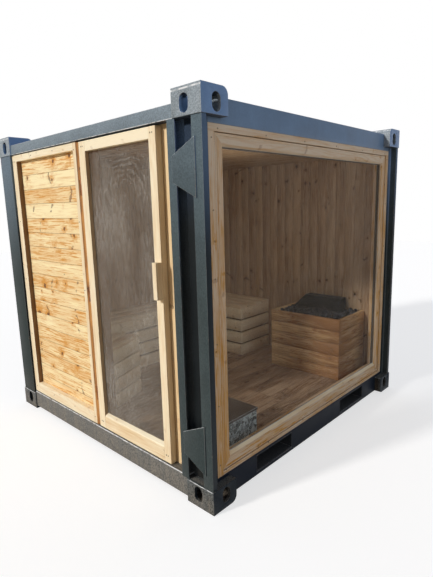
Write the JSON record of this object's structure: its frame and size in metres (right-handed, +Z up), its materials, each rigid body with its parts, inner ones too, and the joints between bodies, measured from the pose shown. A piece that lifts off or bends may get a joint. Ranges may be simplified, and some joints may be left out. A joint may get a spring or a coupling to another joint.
{
  "type": "container sauna",
  "caption": "Small steel container turned into a sauna: corner castings, slotted post, fork pockets, picture window, boarded panel and a framed glass door with a block handle.",
  "frame": {"origin": "centre of the rectangle of the four bottom corner castings, at ground level", "axes": "+X along the door face towards the glazed face, +Y from the door face to the rear wall, +Z up"},
  "size_m": [1.97, 2.003, 1.91],
  "materials": {
    "casting_paint": "satin",
    "steel_paint": "satin",
    "dusty_paint": "matt",
    "tunnel_paint": "matt",
    "floor_boards": "matt",
    "lining_boards": "matt",
    "planed_pine": "matt",
    "knotty_pine": "matt",
    "window_timber": "satin",
    "bench_boards": "matt",
    "hinge_steel": "satin",
    "heater_steel": "satin",
    "block_stone": "matt",
    "window_pane": "clear",
    "door_pane": "clear"
  },
  "bodies": {
    "cabin": {"bottom_castings": "casting_paint", "top_castings": "casting_paint", "slotted_post": "steel_paint", "slot_plates": "steel_paint", "front_left_post": "steel_paint", "rear_posts": "steel_paint", "front_bottom_rail": "dusty_paint", "rear_bottom_rail": "steel_paint", "left_bottom_rail": "steel_paint", "right_bottom_rail": "steel_paint", "front_top_rail": "steel_paint", "rear_top_rail": "steel_paint", "left_top_rail": "steel_paint", "right_top_rail": "steel_paint", "fork_tunnels": "tunnel_paint", "floor_bearers": "tunnel_paint", "floor_deck": "floor_boards", "rear_wall": "steel_paint", "left_wall": "steel_paint", "roof_sheet": "steel_paint", "ceiling_lining": "lining_boards", "rear_lining": "lining_boards", "left_lining": "lining_boards", "front_lining": "lining_boards", "panel_frame": "planed_pine", "panel_boards": "knotty_pine", "hinge_jamb": "planed_pine", "latch_jamb": "planed_pine", "door_head": "planed_pine", "threshold": "planed_pine", "window_lining": "window_timber", "window_sash": "window_timber", "window_glass": "window_pane", "hinge_plates": "hinge_steel", "left_bench": "bench_boards", "rear_bench": "bench_boards", "boarded_box": "bench_boards", "stool": "bench_boards", "heater": "heater_steel", "stone_block": "block_stone", "block_lid": "heater_steel"},
    "door": {"door_leaf": "planed_pine", "door_glass": "door_pane", "door_handle": "planed_pine", "hinge_straps": "hinge_steel"}
  },
  "joints": [
    {"name": "door_hinge", "type": "hinge", "parent": "cabin", "child": "door", "pos_m": [0.018, -0.97, 0.95], "axis": [0, 0, -1], "range_deg": [0, 105]}
  ]
}
